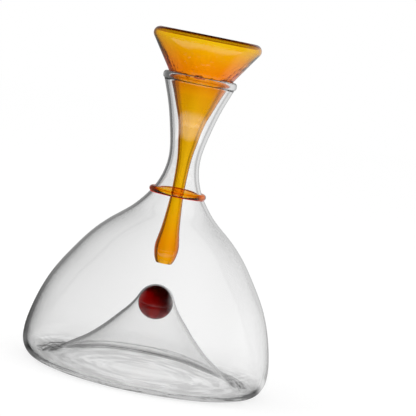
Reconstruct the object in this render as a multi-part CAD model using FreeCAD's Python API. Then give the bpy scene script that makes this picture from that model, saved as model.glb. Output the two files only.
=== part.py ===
"""Wine carafe of blown glass, with a hollow amber stopper and a deep punt that holds a red glass ball.

Everything is round about the Z axis. The carafe stands on Z = 0, with +Z up and the axis through the
origin. Sizes are in millimetres. Each piece is drawn as half a section, radius against height, and
spun round the axis.
"""
import FreeCAD, Part
import math
import os

# Bowl and neck, outside, from the standing ring up
foot_radius = 90.5
foot_flat_width = 2.4
bowl_radius = 105.8
widest_height = 17.8
shoulder_rise = 168.2
waist_radius = 13.6
flare_rise = 66.8
rim_radius = 30.3

# Glass thickness of the bowl and neck
foot_wall = 3.5
heel_wall = 3.4
bowl_wall = 2.3
neck_wall = 2.2

# Turned-in foot, which ends where the punt is welded in
weld_radius = 76.0
weld_height = 4.0
weld_wall = 2.4
foot_slope_degrees = 26.0

# Punt: a flaring cone whose round tip is closed over the ball
ball_radius = 14.9
ball_height = 61.9
tip_wall = 1.25
tip_latitude_degrees = 22.0
cone_wall = 2.1

# Bead of clear glass laid on the rim
bead_half_width = 2.5
bead_half_height = 3.4
bead_sink = 0.7

# Amber trail wound round the neck, under the waist
ring_section_radius = 3.05
ring_drop = 27.8
ring_sink = 0.5

# Stopper, outside
head_height = 36.4
head_edge_radius = 5.6
head_slope_degrees = 34.2
shank_slope_degrees = 31.0
flank_length = 5.0
stem_radius = 5.4
stem_drop = 18.2
bulb_height = 13.6
end_radius = 6.7
end_gap = 18.9

# Stopper, glass thickness: thin over the head, thickest at the seat, and thinner again down the shank
crown_wall = 1.4
seat_wall = 3.3
stem_wall = 1.7
bulb_wall = 2.9
end_wall = 2.0

# Clearances: between fused pieces, at the stopper's seat, and round its bulb in the narrowest neck
fused_film = 0.03
seat_clearance = 0.3
bulb_clearance = 1.1

# Outside of the bowl, from the widest point to the waist:
# how far up each station is, and how much of the narrowing is still to come there
shoulder_shares = (
    (0.102, 0.981), (0.221, 0.924), (0.340, 0.834), (0.459, 0.702), (0.560, 0.570), (0.655, 0.401),
    (0.738, 0.226), (0.786, 0.152), (0.834, 0.091), (0.882, 0.047), (0.935, 0.016),
)
# Outside of the neck, from the waist to the rim: how far up, and how much of the flare is done
flare_shares = (
    (0.145, 0.032), (0.296, 0.140), (0.449, 0.281), (0.602, 0.440), (0.753, 0.630), (0.904, 0.853),
)
# Outside of the heel, as shares of a quarter turn from the foot to the widest point
heel_shares = (0.25, 0.50, 0.75)
# Wall of the bowl: over this share of the shoulder it thins from the heel's to its own
thinning_share = 0.5
# Underside of the foot, between the weld and the standing ring: how far out and how far down
foot_underside_shares = (0.50, 0.74)
# Punt from the weld to the tip, seen from the wine: how far in, how far up, and how far the wall has thinned
cone_shares = (
    (0.109, 0.073, 0.00), (0.250, 0.172, 0.00), (0.389, 0.271, 0.00), (0.518, 0.389, 0.00),
    (0.652, 0.527, 0.05), (0.757, 0.650, 0.20), (0.902, 0.824, 0.60),
)
# Outside of the stopper from its seat to the stem:
# how far down, how much of the narrowing is to come, and how far the wall has thinned
shank_shares = (
    (0.084, 0.832, 0.30), (0.178, 0.667, 0.65), (0.282, 0.502, 0.85), (0.389, 0.333, 0.92),
    (0.510, 0.208, 0.96), (0.660, 0.103, 1.00), (0.750, 0.047, 1.00), (0.840, 0.018, 1.00),
)
# Outside of the stopper from the stem to the bulb: how far down, how much of the swelling is done
bulb_shares = ((0.26, 0.05), (0.47, 0.21), (0.66, 0.42), (0.80, 0.66), (0.91, 0.90))
# Outside of the stopper from the bulb to its open end: how far down, how much of the taper is done
end_shares = ((0.45, 0.20), (0.80, 0.60))
# Middle of an arc, as a share of the angle between its ends
middle_share = 0.5

quarter_turn_degrees = 90
full_turn_degrees = 360

# Places that several pieces share
waist_height = widest_height + shoulder_rise
rim_height = waist_height + flare_rise
ring_height = waist_height - ring_drop
bore_radius = waist_radius - neck_wall
socket_radius = ball_radius + fused_film
tip_radius = socket_radius + tip_wall
tip_top_height = ball_height + tip_radius


def at(radius, height):
    """A point of a half section."""
    return FreeCAD.Vector(radius, 0, height)


def heading(degrees):
    """A direction in the half section: 0 points away from the axis, 90 points up."""
    return at(math.cos(math.radians(degrees)), math.sin(math.radians(degrees)))


def between(low, high, share):
    return low + (high - low) * share


def smooth_curve(points, start=None, end=None):
    """A curve through the points, with its direction at either end if that is given."""
    ends = {}
    if start is not None:
        ends["InitialTangent"] = start
    if end is not None:
        ends["FinalTangent"] = end
    curve = Part.BSplineCurve()
    curve.interpolate(Points=points, **ends)
    return curve


def left_of(curve, point):
    """The unit normal on the left of the curve's direction at a point that it passes."""
    along = curve.tangent(curve.parameter(point))[0]
    return at(-along.z, along.x)


def offset_points(curve, points, walls):
    """The points on the far side of the glass, each a wall's thickness to the left of the curve."""
    return [point + left_of(curve, point) * wall for point, wall in zip(points, walls)]


def line(start, end):
    return Part.makeLine(start, end)


def arc(centre, radius, from_degrees, to_degrees):
    """An arc of a half section, from one heading to another."""
    middle_degrees = between(from_degrees, to_degrees, middle_share)
    return Part.Arc(
        centre + heading(from_degrees) * radius,
        centre + heading(middle_degrees) * radius,
        centre + heading(to_degrees) * radius,
    ).toShape()


def section(*edges):
    return Part.Face(Part.Wire(list(edges)))


def spun(half_section):
    """The solid that a half section makes when it's spun round the axis."""
    turned = half_section.revolve(at(0, 0), heading(quarter_turn_degrees), full_turn_degrees)
    return turned.Solids[0]


def body_outside():
    """Outside of the bowl and neck: points and curve, from the standing ring's edge to the rim."""
    foot_edge = at(foot_radius + foot_flat_width / 2, 0)
    points = [foot_edge]
    for share in heel_shares:
        turn = math.radians(quarter_turn_degrees * share)
        radius = between(foot_edge.x, bowl_radius, math.sin(turn))
        points.append(at(radius, widest_height * (1 - math.cos(turn))))
    points.append(at(bowl_radius, widest_height))
    for up, to_come in shoulder_shares:
        radius = between(waist_radius, bowl_radius, to_come)
        points.append(at(radius, widest_height + shoulder_rise * up))
    points.append(at(waist_radius, waist_height))
    for up, done in flare_shares:
        radius = between(waist_radius, rim_radius, done)
        points.append(at(radius, waist_height + flare_rise * up))
    points.append(at(rim_radius, rim_height))
    return points, smooth_curve(points, start=heading(0))


def foot_underside():
    """Underside of the foot: points and curve, from the weld to the standing ring's inner edge."""
    weld = at(weld_radius, weld_height)
    inner_edge = at(foot_radius - foot_flat_width / 2, 0)
    out, down = foot_underside_shares
    middle = at(between(weld.x, inner_edge.x, out), weld_height * (1 - down))
    points = [weld, middle, inner_edge]
    return points, smooth_curve(points, start=heading(-foot_slope_degrees), end=heading(0))


def body_wall(height):
    """Glass thickness of the bowl and neck at a height: thick in the heel, thinner further up."""
    if height < widest_height:
        return between(foot_wall, heel_wall, height / widest_height)
    if height > waist_height:
        return neck_wall
    up = (height - widest_height) / shoulder_rise
    thinned_turn = quarter_turn_degrees * min(1, up / thinning_share)
    bowl_here = between(heel_wall, bowl_wall, math.sin(math.radians(thinned_turn)))
    return between(bowl_here, neck_wall, up)


def body_inside(outside_points, outside, underside_points, underside):
    """Wine side of the bowl and neck: points and curve, from the weld round the trough to the rim."""
    foot_wall_share = foot_underside_shares[0]
    foot_walls = [weld_wall, between(weld_wall, foot_wall, foot_wall_share)]
    points = offset_points(underside, underside_points[:-1], foot_walls)
    points.append(at(foot_radius, foot_wall))
    rising = outside_points[2:-1]
    points += offset_points(outside, rising, [body_wall(point.z) for point in rising])
    inward = left_of(outside, outside_points[-1])
    points.append(at(rim_radius + neck_wall / inward.x, rim_height))
    return points, smooth_curve(points)


def carafe_body():
    """Bowl, neck and turned-in foot: one blown piece, open where the punt is welded in."""
    outside_points, outside = body_outside()
    underside_points, underside = foot_underside()
    inside_points, inside = body_inside(outside_points, outside, underside_points, underside)
    return spun(section(
        underside.toShape(),
        line(underside_points[-1], outside_points[0]),
        outside.toShape(),
        line(outside_points[-1], inside_points[-1]),
        inside.toShape(),
        line(inside_points[0], underside_points[0]),
    ))


def weld_edge():
    """The foot's open edge, air side and wine side, and the wine side's direction there."""
    outside_points, outside = body_outside()
    underside_points, underside = foot_underside()
    inside_points, inside = body_inside(outside_points, outside, underside_points, underside)
    outward = inside.tangent(inside.FirstParameter)[0]
    return underside_points[0], inside_points[0], outward


def punt_cone():
    """Punt: a cone blown apart from the bowl and welded to its foot, with its round tip closed."""
    foot_air, foot_wine, outward = weld_edge()
    across = foot_wine - foot_air
    film = at(-across.z, across.x).normalize() * fused_film
    air_start = foot_air + film
    wine_start = foot_wine + film
    centre = at(0, ball_height)
    along_tip = heading(quarter_turn_degrees + tip_latitude_degrees)
    wine_end = centre + heading(tip_latitude_degrees) * tip_radius
    air_end = centre + heading(tip_latitude_degrees) * socket_radius

    wine_points = [wine_start]
    walls = []
    for inward, up, thinned in cone_shares:
        radius = between(wine_start.x, wine_end.x, inward)
        wine_points.append(at(radius, between(wine_start.z, wine_end.z, up)))
        walls.append(between(cone_wall, tip_wall, thinned))
    wine_points.append(wine_end)
    wine = smooth_curve(wine_points, start=outward * -1, end=along_tip)
    air_points = [air_start] + offset_points(wine, wine_points[1:-1], walls) + [air_end]
    air = smooth_curve(air_points, start=outward * -1, end=along_tip)
    up_degrees = quarter_turn_degrees
    return spun(section(
        wine.toShape(),
        arc(centre, tip_radius, tip_latitude_degrees, up_degrees),
        line(at(0, tip_top_height), at(0, ball_height + socket_radius)),
        arc(centre, socket_radius, up_degrees, tip_latitude_degrees),
        air.toShape(),
        line(air_start, wine_start),
    ))


def punt_ball():
    """Solid ball, fused by its upper half into the tip of the punt."""
    centre = at(0, ball_height)
    low = at(0, ball_height - ball_radius)
    high = at(0, ball_height + ball_radius)
    rim = arc(centre, ball_radius, -quarter_turn_degrees, quarter_turn_degrees)
    return spun(section(rim, line(high, low)))


def bead_centre():
    """Middle of the rim bead's section: over the middle of the neck's wall, and sunk on to it."""
    return at(rim_radius - neck_wall / 2, rim_height + bead_half_height - bead_sink)


def lip_bead():
    """Bead of oval section, flat where it sits on the neck."""
    centre = bead_centre()
    top = centre + heading(quarter_turn_degrees) * bead_half_height
    oval = Part.Ellipse(top, centre - heading(0) * bead_half_width, centre)
    flat_share = math.sqrt(1 - ((centre.z - rim_height) / bead_half_height) ** 2)
    outer = at(centre.x + bead_half_width * flat_share, rim_height)
    inner = at(centre.x - bead_half_width * flat_share, rim_height)
    over_the_top = Part.ArcOfEllipse(oval, oval.parameter(outer), oval.parameter(inner))
    return spun(section(over_the_top.toShape(), line(inner, outer)))


def neck_ring():
    """Amber trail: round, apart from where it was pressed on to the neck."""
    points, outside = body_outside()
    level = Part.LineSegment(at(0, ring_height), at(bowl_radius, ring_height))
    on_neck = outside.intersectCC(level)[0]
    centre = at(on_neck.X - ring_sink, ring_height)
    trail = section(Part.Circle(centre, FreeCAD.Vector(0, 1, 0), ring_section_radius).toShape())
    clear_of_neck = offset_points(outside, points, [-fused_film] * len(points))
    neck_side = section(
        smooth_curve(clear_of_neck).toShape(),
        line(clear_of_neck[-1], at(0, clear_of_neck[-1].z)),
        line(at(0, clear_of_neck[-1].z), at(0, clear_of_neck[0].z)),
        line(at(0, clear_of_neck[0].z), clear_of_neck[0]),
    )
    pressed = trail.cut(neck_side)
    return spun(pressed.Faces[0])


def stopper_seat():
    """The point of the stopper's flank that faces the rim bead, a clearance away from it."""
    flank = heading(quarter_turn_degrees - shank_slope_degrees)
    towards = at(-flank.z, flank.x)
    reach = math.hypot(bead_half_width * towards.x, bead_half_height * towards.z)
    on_bead = bead_centre() + at(
        bead_half_width ** 2 * towards.x / reach,
        bead_half_height ** 2 * towards.z / reach,
    )
    return on_bead + towards * seat_clearance


def stopper_outline():
    """Outside of the stopper from its open end to the head's flank: points, walls and curve."""
    seat = stopper_seat()
    stem = at(stem_radius, waist_height - stem_drop)
    end = at(end_radius, tip_top_height + end_gap)
    bulb = at(bore_radius - bulb_clearance, end.z + bulb_height)
    points = [end]
    walls = [end_wall]
    for down, done in reversed(end_shares):
        points.append(at(between(bulb.x, end.x, done), between(bulb.z, end.z, down)))
        walls.append(between(bulb_wall, end_wall, done))
    points.append(bulb)
    walls.append(bulb_wall)
    for down, done in reversed(bulb_shares):
        points.append(at(between(stem.x, bulb.x, done), between(stem.z, bulb.z, down)))
        walls.append(between(stem_wall, bulb_wall, done))
    points.append(stem)
    walls.append(stem_wall)
    for down, to_come, thinned in reversed(shank_shares):
        points.append(at(between(stem.x, seat.x, to_come), between(seat.z, stem.z, down)))
        walls.append(between(seat_wall, stem_wall, thinned))
    points.append(seat)
    walls.append(seat_wall)
    points.append(seat + heading(quarter_turn_degrees - shank_slope_degrees) * flank_length)
    walls.append(seat_wall)
    return points, walls, smooth_curve(points, end=heading(quarter_turn_degrees - head_slope_degrees))


def stopper():
    """Hollow amber stopper: flat closed head, long shank, and a bulb that is open at the end."""
    points, walls, outside = stopper_outline()
    flank = heading(quarter_turn_degrees - head_slope_degrees)
    outward = heading(-head_slope_degrees)
    crown_height = stopper_seat().z + head_height
    edge_centre_height = crown_height - head_edge_radius
    edge_start_height = edge_centre_height + outward.z * head_edge_radius
    edge_start = points[-1] + flank * ((edge_start_height - points[-1].z) / flank.z)
    edge_centre = edge_start - outward * head_edge_radius
    inner_edge_radius = head_edge_radius - crown_wall

    hole_edge = at(end_radius - end_wall, points[0].z)
    inside_points = [hole_edge] + offset_points(outside, points[1:], walls[1:])
    inner_edge_start = edge_centre + outward * inner_edge_radius
    inside = smooth_curve(inside_points, end=inner_edge_start - inside_points[-1])
    inner_crown_height = crown_height - crown_wall
    up_degrees = quarter_turn_degrees
    return spun(section(
        outside.toShape(),
        line(points[-1], edge_start),
        arc(edge_centre, head_edge_radius, -head_slope_degrees, up_degrees),
        line(at(edge_centre.x, crown_height), at(0, crown_height)),
        line(at(0, crown_height), at(0, inner_crown_height)),
        line(at(0, inner_crown_height), at(edge_centre.x, inner_crown_height)),
        arc(edge_centre, inner_edge_radius, up_degrees, -head_slope_degrees),
        line(inner_edge_start, inside_points[-1]),
        inside.toShape(),
        line(hole_edge, points[0]),
    ))


pieces = {
    "carafe_body": carafe_body,
    "punt_cone": punt_cone,
    "punt_ball": punt_ball,
    "lip_bead": lip_bead,
    "neck_ring": neck_ring,
    "stopper": stopper,
}

os.makedirs("parts", exist_ok=True)
for name, make in pieces.items():
    solid = make()
    if not solid.isValid():
        raise ValueError(name + " isn't a valid solid")
    solid.exportStep("parts/" + name + ".step")
    print(name, "volume in mm3 %.0f" % solid.Volume)
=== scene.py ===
"""Wine carafe of blown glass with a hollow amber stopper and a red ball in its punt, on a pale table."""
import math

import bmesh
import bpy
import numpy as np
from mathutils import Matrix, Vector


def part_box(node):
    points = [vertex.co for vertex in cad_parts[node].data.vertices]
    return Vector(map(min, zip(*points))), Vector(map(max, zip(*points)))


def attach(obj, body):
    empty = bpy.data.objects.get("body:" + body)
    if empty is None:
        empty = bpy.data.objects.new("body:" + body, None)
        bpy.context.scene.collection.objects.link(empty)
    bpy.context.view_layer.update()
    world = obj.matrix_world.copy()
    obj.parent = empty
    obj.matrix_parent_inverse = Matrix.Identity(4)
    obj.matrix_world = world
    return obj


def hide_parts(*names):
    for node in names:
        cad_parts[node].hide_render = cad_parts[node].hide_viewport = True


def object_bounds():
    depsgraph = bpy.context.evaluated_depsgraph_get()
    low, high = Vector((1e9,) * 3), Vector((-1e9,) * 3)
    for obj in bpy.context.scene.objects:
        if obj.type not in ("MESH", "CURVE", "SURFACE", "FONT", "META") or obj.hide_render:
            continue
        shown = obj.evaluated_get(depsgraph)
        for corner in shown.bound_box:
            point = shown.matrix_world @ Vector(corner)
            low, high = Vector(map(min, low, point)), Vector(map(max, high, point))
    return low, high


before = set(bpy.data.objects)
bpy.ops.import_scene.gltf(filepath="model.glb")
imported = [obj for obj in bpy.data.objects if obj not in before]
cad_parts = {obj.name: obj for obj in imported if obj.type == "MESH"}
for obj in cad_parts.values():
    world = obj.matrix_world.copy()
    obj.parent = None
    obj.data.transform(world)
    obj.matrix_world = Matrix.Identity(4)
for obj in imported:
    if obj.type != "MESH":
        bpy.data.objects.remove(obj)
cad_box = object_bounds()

# Camera: a long lens, level with the stopper's head, looking slightly down and to the right of the axis.
# It is rolled to the left, so that the carafe leans to the right in the picture.
mm = 0.001
photo_side = 416
focal_pixels = 2000
eye_distance = 1693.5 * mm
eye_height = 288.5 * mm
look_down = math.radians(4.65)
look_right = math.atan(32.9 / focal_pixels)
roll = math.radians(11.4)

scene = bpy.context.scene
camera = bpy.data.objects.new("photo_camera", bpy.data.cameras.new("photo_camera"))
camera.data.lens = camera.data.sensor_width * focal_pixels / photo_side
camera.matrix_world = (
    Matrix.Translation((0, -eye_distance, eye_height))
    @ Matrix.Rotation(-look_right, 4, "Z")
    @ Matrix.Rotation(math.pi / 2 - look_down, 4, "X")
    @ Matrix.Rotation(roll, 4, "Z")
)
scene.collection.objects.link(camera)
scene.camera = camera
scene.view_settings.view_transform = "Standard"
# Light crosses many walls of glass on its way, so it may bend more often than usual
scene.cycles.max_bounces = scene.cycles.transmission_bounces = 32
scene.cycles.glossy_bounces = 12


# Studio: a white backdrop that the camera sees. The glass passes on the soft panels round the table, whose
# dimmer gaps draw its outlines, and it mirrors a room that is dark in front, to the left and overhead.
class Value:
    """A shader socket that takes part in sums, so that an expression adds its own Math nodes."""

    def __init__(self, finish, socket):
        self.finish = finish
        self.socket = socket

    def maths(self, operation, *terms):
        return self.finish.node("ShaderNodeMath", 0, dict(operation=operation), *terms)

    def __add__(self, other):
        return self.maths("ADD", self, other)

    def __sub__(self, other):
        return self.maths("SUBTRACT", self, other)

    def __rsub__(self, other):
        return self.maths("SUBTRACT", other, self)

    def __mul__(self, other):
        return self.maths("MULTIPLY", self, other)

    def __truediv__(self, other):
        return self.maths("DIVIDE", self, other)

    def __pow__(self, other):
        return self.maths("POWER", self, other)

    def __abs__(self):
        return self.maths("ABSOLUTE", self)

    __radd__ = __add__
    __rmul__ = __mul__

    def rise(self, low, high, start=0.0, end=1.0):
        """Goes smoothly from start to end as the value goes from low to high."""
        settings = dict(interpolation_type="SMOOTHSTEP")
        return self.finish.node("ShaderNodeMapRange", 0, settings, self, low, high, start, end)

    def at_most(self, limit):
        return self.maths("MINIMUM", self, limit)

    def below(self, limit):
        """1 where the value is under the limit, and 0 elsewhere."""
        return self.maths("LESS_THAN", self, limit)


class Finish:
    """The node tree of a material or of the world."""

    def __init__(self, owner):
        owner.use_nodes = True
        self.tree = owner.node_tree
        self.tree.nodes.clear()

    def node(self, kind, output, settings, *inputs, **named):
        """Adds a node: its settings first, then its inputs by place or by name. None leaves one alone."""
        made = self.tree.nodes.new(kind)
        for name, value in settings.items():
            setattr(made, name, value)
        by_name = ((name.replace("_", " "), value) for name, value in named.items())
        for key, value in [*enumerate(inputs), *by_name]:
            if isinstance(value, Value):
                self.tree.links.new(value.socket, made.inputs[key])
            elif value is not None:
                made.inputs[key].default_value = value
        return Value(self, made.outputs[output]) if output is not None else made

    def blend(self, share, plain, full):
        """A colour that goes from plain to full as the share goes from 0 to 1."""
        sockets_for_numbers = [None] * 5
        return self.node("ShaderNodeMix", 2, dict(data_type="RGBA"), share, *sockets_for_numbers, plain, full)

    def seen(self):
        """1 where the camera, a reflection or the glass looks, and 0 for light that lands on a surface."""
        camera_ray, glossy, through = (
            self.node("ShaderNodeLightPath", name, {})
            for name in ("Is Camera Ray", "Is Glossy Ray", "Is Transmission Ray")
        )
        return camera_ray, (camera_ray + glossy + through).at_most(1.0)

    def mirrored(self):
        """1 once the look has been reflected."""
        return self.node("ShaderNodeLightPath", "Glossy Depth", {}).at_most(1.0)


panel_count = 8
panel_left = 0.86
panel_gap = 0.55
shade_edge = (-0.5, 0.2)
gap_edge = (-0.6, 0.3)
room_left = 0.15
room_right = 0.75
room_front = 0.05
room_side_edge = (-0.6, 0.6)
room_front_edge = (-0.2, 0.3)
room_top_edge = (0.2, 0.7)
soft_light = 0.75


def panels_towards(across, deep):
    """Light of the soft panels round the table: a little dimmer to the left, and dim in the gaps."""
    turn = across.maths("ARCTAN2", across, deep) * panel_count
    shade = turn.maths("SINE", turn).rise(*shade_edge, panel_left, 1.0)
    return shade * turn.maths("COSINE", turn).rise(*gap_edge, panel_gap, 1.0)


def room_towards(across, deep):
    """Light of the room that the glass mirrors: dark in front of the table, and brighter to the right."""
    return across.rise(*room_side_edge, room_left, room_right) * deep.rise(*room_front_edge, room_front, 1.0)


world = bpy.data.worlds.new("studio")
scene.world = world
studio = Finish(world)
towards = studio.node("ShaderNodeTexCoord", "Generated", {})
across, deep, up = (studio.node("ShaderNodeSeparateXYZ", axis, {}, towards) for axis in "XYZ")
camera_ray, looks = studio.seen()
reflected = studio.mirrored()
room = room_towards(across, deep) * up.rise(*room_top_edge, 1.0, 0.0)
passed = panels_towards(across, deep) * (1 - reflected) + room * reflected
strength = looks * (camera_ray + (1 - camera_ray) * passed) + (1 - looks) * soft_light
background = studio.node("ShaderNodeBackground", 0, {}, (1, 1, 1, 1), strength)
studio.node("ShaderNodeOutputWorld", None, {}, background)

# Table: a pale, plain and matt top that the carafe stands on. It shows nearly white and keeps a faint shadow.
# The glass mirrors it dimmer. Its glow is painted light, with painted arcs of gathered light and a painted
# shadow ring under the foot.
table_half_width = 6.0
table_drop = 0.05 * mm
bm = bmesh.new()
bmesh.ops.create_grid(bm, x_segments=1, y_segments=1, size=table_half_width)
bmesh.ops.translate(bm, verts=bm.verts, vec=(0, 0, -table_drop))
table_mesh = bpy.data.meshes.new("table")
bm.to_mesh(table_mesh)
bm.free()
table = bpy.data.objects.new("table", table_mesh)
scene.collection.objects.link(table)

table_paint = (0.33, 0.33, 0.33, 1)
table_lit = 0.25
table_glow = 1.0 - table_lit
glow_near = 0.75
mirrored_near = 0.62
near_edge = (0.105, 0.16)
mirrored_edge = (0.100, 0.110)
panels_edge = (0.8, 2.2)
carafe_side = 0.11
# Painted shadow: a dark ring under the foot's edge, seen where the glass mirrors the table
painted_foot_shadow = 0.75
foot_inner_edge = (0.094, 0.100)
foot_outer_edge = (0.104, 0.114)
# Painted light: light that the glass would gather, painted under the foot in broken arcs
gathered_scale = 120.0
gathered_turn = 0.35
gathered_glow = 0.24
gathered_levels = (0.40, 0.62)
gathered_edge = (0.01, 0.05)
# Two bowed strips of the table in front glow as painted highlights, and show as painted reflections: pale
# bands across the stopper's head and shank: near edge, far edge, softness, bow, half width, glow
painted_sheen_strips = (
    (0.153, 0.240, 0.012, 2.0, 0.30, 1.5),
    (0.335, 0.450, 0.045, 1.1, 0.55, 1.5),
)
strip_side_fade = 1.3
table_material = bpy.data.materials.new("pale_table")
paint = Finish(table_material)
place = paint.node("ShaderNodeTexCoord", "Object", {})
across, deep = (paint.node("ShaderNodeSeparateXYZ", axis, {}, place) for axis in "XY")
far = (across * across + deep * deep) ** 0.5
away = far.rise(*near_edge)
distant = far.rise(*panels_edge)
beside = across.rise(-carafe_side, carafe_side / 2, panel_left, 1.0)
open_table = distant * panels_towards(across, deep) + (1 - distant) * beside - table_lit
painted_shadow_ring = far.rise(*foot_inner_edge) * far.rise(*foot_outer_edge, 1.0, 0.0)
curves = paint.node("ShaderNodeCombineXYZ", 0, {}, far, across * gathered_turn, deep * gathered_turn)
painted_gathered_light = paint.node("ShaderNodeTexNoise", 0, {}, curves, Scale=gathered_scale, Detail=2.0)
painted_gathered_light = painted_gathered_light.rise(*gathered_levels, -0.5, 0.5) * far.rise(*gathered_edge)
passed = away * open_table + (1 - away) * beside * (glow_near + painted_gathered_light * gathered_glow)
camera_ray, looks = paint.seen()
seen_direct = looks * (camera_ray * table_glow + (1 - camera_ray) * passed)
in_front = 0 - deep
sheen = 0
for start, stop, soft, bow, half_width, glow in painted_sheen_strips:
    ahead = in_front + across * across * bow
    strip = ahead.rise(start, start + soft) * ahead.rise(stop - soft, stop, 1.0, 0.0)
    sheen = sheen + strip * abs(across).rise(half_width, half_width * strip_side_fade, 1.0, 0.0) * glow
clear_of_foot = far.rise(*mirrored_edge)
shadowed = (1 - clear_of_foot) * (1 - painted_shadow_ring * painted_foot_shadow) * mirrored_near
seen_mirrored = clear_of_foot * room_towards(across / far, deep / far) + shadowed + sheen
matt = paint.node("ShaderNodeBsdfDiffuse", 0, {}, table_paint)
direct_glow = paint.node("ShaderNodeEmission", 0, {}, (1, 1, 1, 1), seen_direct)
mirrored_glow = paint.node("ShaderNodeEmission", 0, {}, (1, 1, 1, 1), seen_mirrored)
direct = paint.node("ShaderNodeAddShader", 0, {}, matt, direct_glow)
seen_either = paint.node("ShaderNodeMixShader", 0, {}, paint.mirrored() * looks, direct, mirrored_glow)
paint.node("ShaderNodeOutputMaterial", None, {}, seen_either)
table_mesh.materials.append(table_material)


# Soft boxes: two large lamps, one on each side, that light the table and cast the faint shadow. Both are
# aimed at the middle of the carafe.
def soft_box(name, place, width, height, power):
    """A lamp that lights the table from one side and shows in nothing."""
    light = bpy.data.lights.new(name, "AREA")
    light.shape = "RECTANGLE"
    light.size = width
    light.size_y = height
    light.energy = power
    box = bpy.data.objects.new(name, light)
    aim = Vector((0, 0, cad_box[1].z / 2)) - Vector(place)
    box.matrix_world = Matrix.Translation(place) @ aim.to_track_quat("-Z", "Y").to_matrix().to_4x4()
    box.visible_glossy = False
    box.visible_transmission = False
    box.visible_camera = False
    scene.collection.objects.link(box)


soft_box("soft_box_left", (-1.3, -0.7, 0.9), width=0.5, height=1.0, power=6)
soft_box("soft_box_right", (1.4, -0.4, 0.8), width=0.4, height=1.0, power=4)

# Bowl and neck: blown in one from clear glass, thick in the heel and thin up the neck. The foot is
# turned in under the bowl, and ends in the edge where the punt is welded in.
foot_radius = 90.5 * mm
foot_flat = 2.4 * mm
bowl_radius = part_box("carafe_body")[1].x
widest_height = 17.8 * mm
waist_radius = 13.6 * mm
waist_height = 186.0 * mm
rim_radius = 30.3 * mm
rim_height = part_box("carafe_body")[1].z
weld_radius = 76.0 * mm
weld_height = 4.0 * mm
weld_wall = 2.4 * mm
foot_slope = math.radians(26)
underside_middle = (82.7 * mm, 1.04 * mm)
trough_middle = (83.3 * mm, 3.95 * mm)
foot_wall = 3.5 * mm
heel_wall = 3.4 * mm
bowl_wall = 2.3 * mm
neck_wall = 2.2 * mm
rim_middle = rim_radius - neck_wall / 2
glass_bend = 1.47
per_span = 6
heel_turns = (22.5, 45.0, 67.5)
# From the widest point to the waist: how far up, and how much of the narrowing is to come
shoulder_shares = (
    (0.102, 0.981), (0.221, 0.924), (0.340, 0.834), (0.459, 0.702), (0.560, 0.570), (0.655, 0.401),
    (0.738, 0.226), (0.786, 0.152), (0.834, 0.091), (0.882, 0.047), (0.935, 0.016),
)
# From the waist to the rim: how far up, and how much of the flare is done
flare_shares = (
    (0.145, 0.032), (0.296, 0.140), (0.449, 0.281), (0.602, 0.440), (0.753, 0.630), (0.904, 0.853),
)


def between(low, high, share):
    return low + (high - low) * share


def smooth_through(points, start=None, end=None):
    """Points along the smoothest curve through the given (radius, height) points."""
    knots = np.array(points, float)
    spans = np.diff(knots, axis=0)
    steps = np.linalg.norm(spans, axis=1)
    count = len(knots)
    system = np.zeros((count, count))
    right = np.zeros((count, 2))
    system[0, 0] = system[-1, -1] = 1
    for i in range(1, count - 1):
        system[i, i - 1:i + 2] = steps[i - 1], 2 * (steps[i - 1] + steps[i]), steps[i]
        right[i] = 6 * (spans[i] / steps[i] - spans[i - 1] / steps[i - 1])
    if start is not None:
        system[0, :2] = 2 * steps[0], steps[0]
        right[0] = 6 * (spans[0] / steps[0] - np.array(start))
    if end is not None:
        system[-1, -2:] = steps[-1], 2 * steps[-1]
        right[-1] = 6 * (np.array(end) - spans[-1] / steps[-1])
    bend = np.linalg.solve(system, right)
    curve = []
    for i, step in enumerate(steps):
        for share in np.arange(per_span) / per_span:
            rest = 1 - share
            sag = (rest ** 3 - rest) * bend[i] + (share ** 3 - share) * bend[i + 1]
            curve.append(rest * knots[i] + share * knots[i + 1] + sag * step ** 2 / 6)
    curve.append(knots[-1])
    return np.array(curve)


def offset(curve, walls):
    """The glass's other face: each point moved to the left of the curve's direction by its wall."""
    along = np.gradient(curve, axis=0)
    along /= np.linalg.norm(along, axis=1)[:, None]
    left = np.stack([-along[:, 1], along[:, 0]], axis=1)
    return curve + left * np.asarray(walls)[:, None]


def arc(centre_radius, centre_height, radius, low_turn, high_turn, count):
    turns = np.linspace(low_turn, high_turn, count)
    return np.stack([centre_radius + radius * np.cos(turns), centre_height + radius * np.sin(turns)], axis=1)


steps_around = 144
seam = 0.001 * mm
corner = math.radians(40)


def spun(outline, closed=True, around=steps_around):
    """Spins a half section, given as (radius, height) points, into a closed shape."""
    bm = bmesh.new()
    verts = [bm.verts.new((max(radius, 0), 0, height)) for radius, height in outline]
    pairs = zip(verts, verts[1:] + verts[:1]) if closed else zip(verts, verts[1:])
    edges = [bm.edges.new(pair) for pair in pairs]
    bmesh.ops.spin(
        bm, geom=verts + edges, cent=(0, 0, 0), axis=(0, 0, 1), angle=2 * math.pi,
        steps=around, use_merge=True,
    )
    bmesh.ops.remove_doubles(bm, verts=bm.verts, dist=seam)
    bmesh.ops.recalc_face_normals(bm, faces=bm.faces)
    return bm


def finished(name, bm, material, node, body):
    """Turns a shape into the piece that stands in for a node of the solid model."""
    mesh = bpy.data.meshes.new(name)
    bm.to_mesh(mesh)
    bm.free()
    mesh.shade_smooth()
    mesh.set_sharp_from_angle(angle=corner)
    mesh.materials.append(material)
    piece = bpy.data.objects.new(name, mesh)
    scene.collection.objects.link(piece)
    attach(piece, body)
    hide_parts(node)
    return piece


def body_wall(height):
    """The wall here: it thins from the heel over the bowl's lower half, and then on towards the neck."""
    if height < widest_height:
        return between(foot_wall, heel_wall, height / widest_height)
    if height > waist_height:
        return neck_wall
    up = (height - widest_height) / (waist_height - widest_height)
    bowl_here = between(heel_wall, bowl_wall, math.sin(math.pi / 2 * min(1, up * 2)))
    return between(bowl_here, neck_wall, up)


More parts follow.
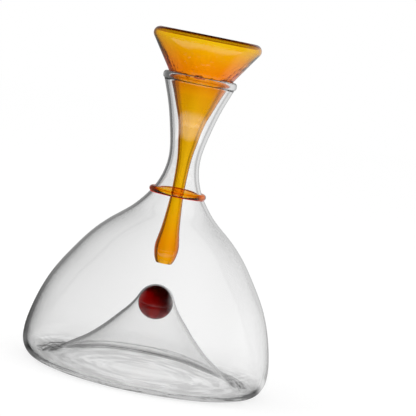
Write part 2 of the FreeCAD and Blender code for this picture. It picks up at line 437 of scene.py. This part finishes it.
foot_edge = foot_radius + foot_flat / 2
outside = [(foot_edge, 0.0)]
for turn in heel_turns:
    turn = math.radians(turn)
    outside.append((between(foot_edge, bowl_radius, math.sin(turn)), widest_height * (1 - math.cos(turn))))
outside.append((bowl_radius, widest_height))
for up, to_come in shoulder_shares:
    outside.append((between(waist_radius, bowl_radius, to_come), between(widest_height, waist_height, up)))
outside.append((waist_radius, waist_height))
for up, done in flare_shares:
    outside.append((between(waist_radius, rim_radius, done), between(waist_height, rim_height, up)))
outside.append((rim_radius, rim_height))
outside = smooth_through(outside, start=(1, 0))
outside[:, 0] = np.minimum(outside[:, 0], bowl_radius)
underside = smooth_through(
    [(weld_radius, weld_height), underside_middle, (foot_radius - foot_flat / 2, 0.0)],
    start=(math.cos(foot_slope), -math.sin(foot_slope)), end=(1, 0),
)
rising = outside[2 * per_span:]
inside = offset(rising, [body_wall(height) for radius, height in rising])
inside[-1, 1] = rim_height
weld_wine = (weld_radius + weld_wall * math.sin(foot_slope), weld_height + weld_wall * math.cos(foot_slope))
trough = smooth_through(
    [weld_wine, trough_middle, (foot_radius, foot_wall), tuple(inside[0])],
    end=(inside[1] - inside[0]) / np.linalg.norm(inside[1] - inside[0]),
)
body_section = np.concatenate([underside, outside, inside[::-1], trough[::-1][1:]])


def ripples(finish, place, scale, stretch, lift):
    """The height of shallow waves in the glass."""
    drawn = finish.node("ShaderNodeMapping", 0, {}, place, Scale=stretch)
    waves = finish.node("ShaderNodeTexNoise", 0, {}, drawn, Scale=scale, Detail=2.0, Roughness=0.45)
    return waves * lift


def close_as_glass(finish, waves, relief, shade, density, **surface):
    """Ends a material as glass: a surface with shallow waves, over a depth that takes up light."""
    bumps = finish.node("ShaderNodeBump", 0, {}, Strength=1.0, Distance=relief, Height=waves)
    glass = finish.node(
        "ShaderNodeBsdfPrincipled", 0, {},
        IOR=glass_bend, Normal=bumps, Transmission_Weight=1.0, **surface,
    )
    depth = finish.node("ShaderNodeVolumeAbsorption", 0, {}, shade, density)
    finish.node("ShaderNodeOutputMaterial", None, {}, glass, depth)


fused_reach = 0.02 * mm
ridge_height = 10.5 * mm
ridge_sway = 2.5 * mm
ridge_width = 0.5 * mm
ridge_inside = weld_radius - 8 * mm, weld_radius - 4 * mm
ridge_back = -10 * mm, 20 * mm
heel_low = 3 * mm, 9 * mm
heel_out = 80 * mm, 86 * mm
tooled_scale = 260.0
tooled_lift = 2.5
drift_scale = 9.0
drift_reach = 0.05
ripple_scale = 60.0
ripple_stretch = (1, 1, 0.2)
ripple_lift = 0.04
clear_relief = 0.2 * mm
haze_scale = 25.0
haze_most = 0.008
clear_shade = (0.40, 0.42, 0.41, 1)
clear_density = 6.0
clear = bpy.data.materials.new("clear_glass")
finish = Finish(clear)
place = finish.node("ShaderNodeTexCoord", "Object", {})
across, deep, height = (finish.node("ShaderNodeSeparateXYZ", axis, {}, place) for axis in "XYZ")
radius = (across * across + deep * deep) ** 0.5
drift = finish.node("ShaderNodeTexNoise", 0, {}, place, Scale=drift_scale) * drift_reach
rings = finish.node("ShaderNodeCombineXYZ", 0, {}, radius, height, drift)
tooled = finish.node("ShaderNodeTexNoise", 0, {}, rings, Scale=tooled_scale, Detail=2.0, Roughness=0.5)
on_heel = height.rise(*heel_low, 1.0, 0.0) * radius.rise(*heel_out)
ridge = abs(height - ridge_height - tooled * ridge_sway).rise(0, ridge_width, 1.0, 0.0)
ridge = ridge * radius.rise(*ridge_inside, 1.0, 0.0) * deep.rise(*ridge_back)
waves = ripples(finish, place, ripple_scale, ripple_stretch, ripple_lift)
waves = waves + tooled * on_heel * tooled_lift + ridge
haze = finish.node("ShaderNodeTexNoise", 0, {}, place, Scale=haze_scale, Detail=3.0) ** 2.0 * haze_most
# Fused pieces have no surface between them, so their meeting faces at the weld and the rim are clear through
from_weld = (radius - weld_radius) * math.cos(foot_slope) - (height - weld_height) * math.sin(foot_slope)
at_weld = abs(from_weld).below(fused_reach) * height.below(weld_height + weld_wall)
at_rim = abs(height - rim_height).below(fused_reach) * abs(radius - rim_middle).below(neck_wall / 2)
close_as_glass(
    finish, waves, clear_relief, clear_shade, clear_density,
    Base_Color=(1, 1, 1, 1), Roughness=haze, Alpha=1 - (at_weld + at_rim).at_most(1.0),
)
finished("carafe_body_glass", spun(body_section), clear, "carafe_body", "carafe")

# Punt: a clear cone, blown apart from the bowl and welded to its foot. Its tip closes over the ball.
ball_radius = 14.9 * mm
ball_height = 61.9 * mm
film = 0.03 * mm
tip_wall = 1.25 * mm
tip_latitude = math.radians(22)
tip_points = 24
cone_wall = 2.1 * mm
# From the weld to the tip: how far in, how far up, and how far the wall has thinned
cone_shares = (
    (0.109, 0.073, 0.00), (0.250, 0.172, 0.00), (0.389, 0.271, 0.00), (0.518, 0.389, 0.00),
    (0.652, 0.527, 0.05), (0.757, 0.650, 0.20), (0.902, 0.824, 0.60),
)
socket_radius = ball_radius + film
tip_radius = socket_radius + tip_wall
wine_end = (tip_radius * math.cos(tip_latitude), ball_height + tip_radius * math.sin(tip_latitude))
air_end = (socket_radius * math.cos(tip_latitude), ball_height + socket_radius * math.sin(tip_latitude))
wine_points = [weld_wine]
thinned_to = [weld_wall]
for inward, up, thinned in cone_shares:
    wine_points.append((between(weld_wine[0], wine_end[0], inward), between(weld_wine[1], wine_end[1], up)))
    thinned_to.append(between(cone_wall, tip_wall, thinned))
wine_points.append(wine_end)
thinned_to.append(tip_wall)
inwards = (-math.cos(foot_slope), math.sin(foot_slope))
up_the_tip = (-math.sin(tip_latitude), math.cos(tip_latitude))
wine_side = smooth_through(wine_points, start=inwards, end=up_the_tip)
walls = np.interp(np.arange(len(wine_side)) / per_span, np.arange(len(thinned_to)), thinned_to)
air_side = offset(wine_side, walls)
air_side[0] = (weld_radius, weld_height)
air_side[-1] = air_end
cap = arc(0, ball_height, tip_radius, tip_latitude, math.pi / 2, tip_points)[1:]
socket = arc(0, ball_height, socket_radius, tip_latitude, math.pi / 2, tip_points)[1:]
cap[-1, 0] = socket[-1, 0] = 0
punt_section = np.concatenate([wine_side, cap, socket[::-1], air_side[::-1]])
finished("punt_glass", spun(punt_section), clear, "punt_cone", "carafe")

# Ball: solid glass, deep red all through, with painted shade that darkens it to the upper right. Its upper
# part is fused into the tip of the punt, which closes over it.
ball_points = 97
ball_outline = arc(0, ball_height, ball_radius, -math.pi / 2, math.pi / 2, ball_points)
ball_outline[[0, -1], 0] = 0
ball_painted_lit = (1.0, 1.0, 1.0, 1)
ball_painted_shade = (0.03, 0.02, 0.02, 1)
painted_shade_lean = 0.9
swirl_width = 8 * mm
ball_relief = 0.05 * mm
ball_roughening = 100
red_deep = (0.86, 0.0, 0.0, 1)
red_density = 400.0
red = bpy.data.materials.new("red_glass")
finish = Finish(red)
place = finish.node("ShaderNodeTexCoord", "Object", {})
across, height = (finish.node("ShaderNodeSeparateXYZ", axis, {}, place) for axis in "XZ")
# Painted shade: the colour runs from clear to nearly black towards the upper right and the top
swirl = finish.node("ShaderNodeTexNoise", 0, {}, place, Scale=60.0, Detail=2.0, Distortion=1.0) * swirl_width
painted_shade_rise = across * painted_shade_lean + (height - ball_height) + swirl
shade = finish.blend(painted_shade_rise.rise(0, ball_radius), ball_painted_lit, ball_painted_shade)
close_as_glass(
    finish, swirl * ball_roughening, ball_relief, red_deep, red_density, Base_Color=shade, Roughness=0.0,
)
finished("punt_ball_glass", spun(ball_outline, closed=False), red, "punt_ball", "carafe")

# Bead: a thick ring of clear glass, laid on the rim while both were hot, and flat where it joins the neck.
# The stopper rests on its inside.
bead_half_width = 2.5 * mm
bead_half_height = 3.4 * mm
bead_sink = 0.7 * mm
bead_points = 65
bead_radius = rim_middle
bead_height = rim_height + bead_half_height - bead_sink
bead_outline = arc(0, 0, 1, 0, 2 * math.pi, bead_points)[:-1] * (bead_half_width, bead_half_height)
bead_outline += (bead_radius, bead_height)
bead_outline[:, 1] = np.maximum(bead_outline[:, 1], rim_height)
finished("lip_bead_glass", spun(bead_outline), clear, "lip_bead", "carafe")

# Trail: a thread of amber glass, wound once round the foot of the neck while hot. It was pressed on a little
# unevenly, so its shade and its surface vary along it.
ring_low, ring_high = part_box("neck_ring")
ring_radius = (ring_high.z - ring_low.z) / 2
ring_centre = ring_high.x - ring_radius
ring_height = (ring_low.z + ring_high.z) / 2
ring_points = 49
above_widest = outside[5 * per_span:]
ring_outline = arc(ring_centre, ring_height, ring_radius, 0, 2 * math.pi, ring_points)[:-1]
on_neck = np.interp(ring_outline[:, 1], above_widest[:, 1], above_widest[:, 0]) + film
ring_outline[:, 0] = np.maximum(ring_outline[:, 0], on_neck)
bm = spun(ring_outline)
amber_deep = (1.0, 0.896, 0.0, 1)
amber_density = 1600.0
trail_thin = (1.0, 0.78, 0.46, 1)
trail_thick = (1.0, 0.54, 0.24, 1)
trail_scale = 75.0
trail_levels = (0.35, 0.65)
trail_wave_scale = 90.0
trail_relief = 0.4 * mm
amber = bpy.data.materials.new("amber_glass")
finish = Finish(amber)
place = finish.node("ShaderNodeTexCoord", "Object", {})
waves = ripples(finish, place, trail_wave_scale, (1, 1, 1), 1.0)
uneven = finish.node("ShaderNodeTexNoise", 0, {}, place, Scale=trail_scale, Detail=2.0).rise(*trail_levels)
close_as_glass(
    finish, waves, trail_relief, amber_deep, amber_density,
    Base_Color=finish.blend(uneven, trail_thin, trail_thick), Roughness=0.0,
)
finished("neck_ring_glass", bm, amber, "neck_ring", "carafe")

# Stopper: blown hollow from amber glass. Its head is flat and closed, its shank thickest at the seat, and
# its bulb open at the end where it was cracked off the blowpipe.
stopper_low, stopper_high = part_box("stopper")
crown = stopper_high.z
head_slope = math.radians(34.2)
shank_slope = math.radians(31)
flank = 5.0 * mm
seat_clearance = 0.3 * mm
# The seat faces the bead's inside, where the bead is parallel to the flank, a clearance away from it
towards_seat = np.array([-math.cos(shank_slope), math.sin(shank_slope)])
bead_halves = np.array([bead_half_width, bead_half_height])
on_bead = bead_halves ** 2 * towards_seat / np.linalg.norm(bead_halves * towards_seat)
seat = on_bead + (bead_radius, bead_height) + towards_seat * seat_clearance
stem = (5.4 * mm, waist_height - 18.2 * mm)
end = (6.7 * mm, stopper_low.z)
bulb = (10.3 * mm, end[1] + 13.6 * mm)
edge_radius = 5.6 * mm
edge_points = 20
crown_wall = 1.4 * mm
seat_wall = 3.3 * mm
stem_wall = 1.7 * mm
bulb_wall = 2.9 * mm
end_wall = 2.0 * mm
head_spans = 4
top_shares = (0.75, 0.5, 0.25, 0.0)
# From the seat to the stem: how far down, how much narrowing is to come, and how far the wall has thinned
shank_shares = (
    (0.084, 0.832, 0.30), (0.178, 0.667, 0.65), (0.282, 0.502, 0.85), (0.389, 0.333, 0.92),
    (0.510, 0.208, 0.96), (0.660, 0.103, 1.00), (0.750, 0.047, 1.00), (0.840, 0.018, 1.00),
)
# From the stem to the bulb, and from the bulb to the end: how far down, and how much of the change is done
bulb_shares = ((0.26, 0.05), (0.47, 0.21), (0.66, 0.42), (0.80, 0.66), (0.91, 0.90))
end_shares = ((0.45, 0.20), (0.80, 0.60))
stations = [(*end, end_wall)]
for down, done in reversed(end_shares):
    wall = between(bulb_wall, end_wall, done)
    stations.append((between(bulb[0], end[0], done), between(bulb[1], end[1], down), wall))
stations.append((*bulb, bulb_wall))
for down, done in reversed(bulb_shares):
    wall = between(stem_wall, bulb_wall, done)
    stations.append((between(stem[0], bulb[0], done), between(stem[1], bulb[1], down), wall))
stations.append((*stem, stem_wall))
for down, to_come, thinned in reversed(shank_shares):
    wall = between(seat_wall, stem_wall, thinned)
    stations.append((between(stem[0], seat[0], to_come), between(seat[1], stem[1], down), wall))
stations.append((*seat, seat_wall))
stations.append((seat[0] + flank * math.sin(shank_slope), seat[1] + flank * math.cos(shank_slope), seat_wall))
stations = np.array(stations)
edge_height = crown - edge_radius
edge_start_height = edge_height - math.sin(head_slope) * edge_radius
edge_start_radius = stations[-1, 0] + (edge_start_height - stations[-1, 1]) * math.tan(head_slope)
edge_centre = edge_start_radius - math.cos(head_slope) * edge_radius
up_the_head = (math.sin(head_slope), math.cos(head_slope))
shank = smooth_through(stations[:, :2], end=up_the_head)
walls = np.interp(np.arange(len(shank)) / per_span, np.arange(len(stations)), stations[:, 2])
edge = arc(edge_centre, edge_height, edge_radius, -head_slope, math.pi / 2, edge_points)
inner_edge = arc(edge_centre, edge_height, edge_radius - crown_wall, -head_slope, math.pi / 2, edge_points)
inner_shank = offset(shank, walls)
up_head = np.linspace(0, 1, head_spans + 1)[1:-1, None]
head = between(shank[-1], edge[0], up_head)
inner_head = between(inner_shank[-1], inner_edge[0], up_head)
top = np.array([(edge_centre * share, crown) for share in top_shares])
inner_top = top - (0, crown_wall)
outer = np.concatenate([shank, head, edge, top])
inner = np.concatenate([inner_shank, inner_head, inner_edge, inner_top])
inner[0] = (end[0] - end_wall, end[1])
stopper_steps = 240
bm = spun(np.concatenate([outer, inner[::-1]]), around=stopper_steps)

# The wall's thickness gives the amber its shade, so the thick seat is deepest. Faint streaks of deeper
# glass run along the draw, and a fold wanders round the seat where it was tooled to fit.
amber_plain = (1.0, 0.98, 0.85, 1)
amber_streak = (1.0, 0.93, 0.60, 1)
# The fold's colour, which also paints shade on the head's edge
amber_fold_and_painted_shade = (0.25, 0.03, 0.0, 1)
streak_scale = 110.0
streak_stretch = (1, 1, 0.15)
streak_levels = (0.45, 0.75)
wander_scale = 130.0
fold_sway = 9 * mm
fold_width = 0.7 * mm
fold_reach = 3 * mm
painted_shade_heights = crown - 2.8 * mm, crown - 1.6 * mm
painted_shade_radii = edge_centre + 1 * mm, edge_centre + 3 * mm
stopper_wave_scale = 55.0
stopper_wave_stretch = (1, 1, 0.25)
stopper_wave_lift = 0.5
stopper_relief = 0.25 * mm
# Just above the seat the glass was pinched, which left small dents
dent_scale = 260.0
dent_stretch = (1, 1, 0.5)
dents_start = 255 * mm, 262 * mm
dents_end = 266 * mm, 282 * mm
amber_blown = bpy.data.materials.new("amber_glass_blown")
finish = Finish(amber_blown)
place = finish.node("ShaderNodeTexCoord", "Object", {})
height = finish.node("ShaderNodeSeparateXYZ", "Z", {}, place)
drawn = finish.node("ShaderNodeMapping", 0, {}, place, Scale=streak_stretch)
streaks = finish.node("ShaderNodeTexNoise", 0, {}, drawn, Scale=streak_scale, Detail=2.0).rise(*streak_levels)
wander = finish.node("ShaderNodeTexNoise", 0, {}, place, Scale=wander_scale, Detail=1.5, Roughness=0.5)
fold = abs(height - seat[1] - (wander - 0.5) * fold_sway).rise(fold_width / 4, fold_width, 1.0, 0.0)
fold = fold * abs(height - seat[1]).rise(fold_reach / 2, fold_reach, 1.0, 0.0)
# The head's edge is painted darkest, as painted shade where the flank turns over to the flat top
across, deep = (finish.node("ShaderNodeSeparateXYZ", axis, {}, place) for axis in "XY")
radius = (across * across + deep * deep) ** 0.5
painted_edge_shade = height.rise(*painted_shade_heights) * radius.rise(*painted_shade_radii)
fold_and_painted_edge_shade = (fold + painted_edge_shade).at_most(1.0)
marked = finish.blend(fold_and_painted_edge_shade, finish.blend(streaks, amber_plain, amber_streak), amber_fold_and_painted_shade)
waves = ripples(finish, place, stopper_wave_scale, stopper_wave_stretch, stopper_wave_lift)
dents = ripples(finish, place, dent_scale, dent_stretch, 1.0)
dents = dents * (height.rise(*dents_start) * height.rise(*dents_end, 1.0, 0.0))
close_as_glass(
    finish, waves + dents, stopper_relief, amber_deep, amber_density, Base_Color=marked, Roughness=0.0,
)
finished("stopper_glass", bm, amber_blown, "stopper", "stopper")
